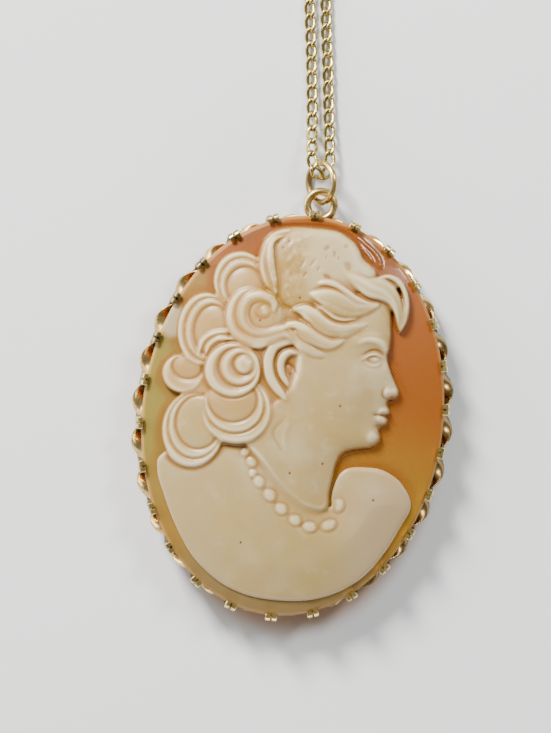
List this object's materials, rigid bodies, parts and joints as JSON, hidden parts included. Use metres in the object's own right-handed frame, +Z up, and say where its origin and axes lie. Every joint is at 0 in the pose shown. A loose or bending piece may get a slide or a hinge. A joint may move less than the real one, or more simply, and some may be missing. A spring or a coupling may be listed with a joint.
{
  "type": "cameo pendant",
  "caption": "Oval carved shell cameo of a classical profile in a twisted-ribbon claw setting, on a fine curb chain with a clasp.",
  "frame": {"origin": "on the surface the jewel lies on, under the middle of the box of the whole jewel with its chain laid out", "axes": "+Z up, out of the carved face; +Y from the cameo to its top ring; +X to the right of the cameo seen from above, the way the profile looks"},
  "size_m": [0.106, 0.2367, 0.0082],
  "materials": {
    "shell_orange": "orange inner layer of a sea shell, polished",
    "shell_cream": "cream outer layer of a sea shell, carved and polished, a little pink and stained",
    "setting_gold": "yellow gold, polished, darkened in its recesses",
    "chain_gold": "pale yellow gold, polished"
  },
  "bodies": {
    "root": {"shell_ground": "shell_orange", "shell_figure": "shell_cream", "setting": "setting_gold", "jump_ring": "chain_gold", "chain": "chain_gold", "clasp": "chain_gold"}
  },
  "joints": []
}
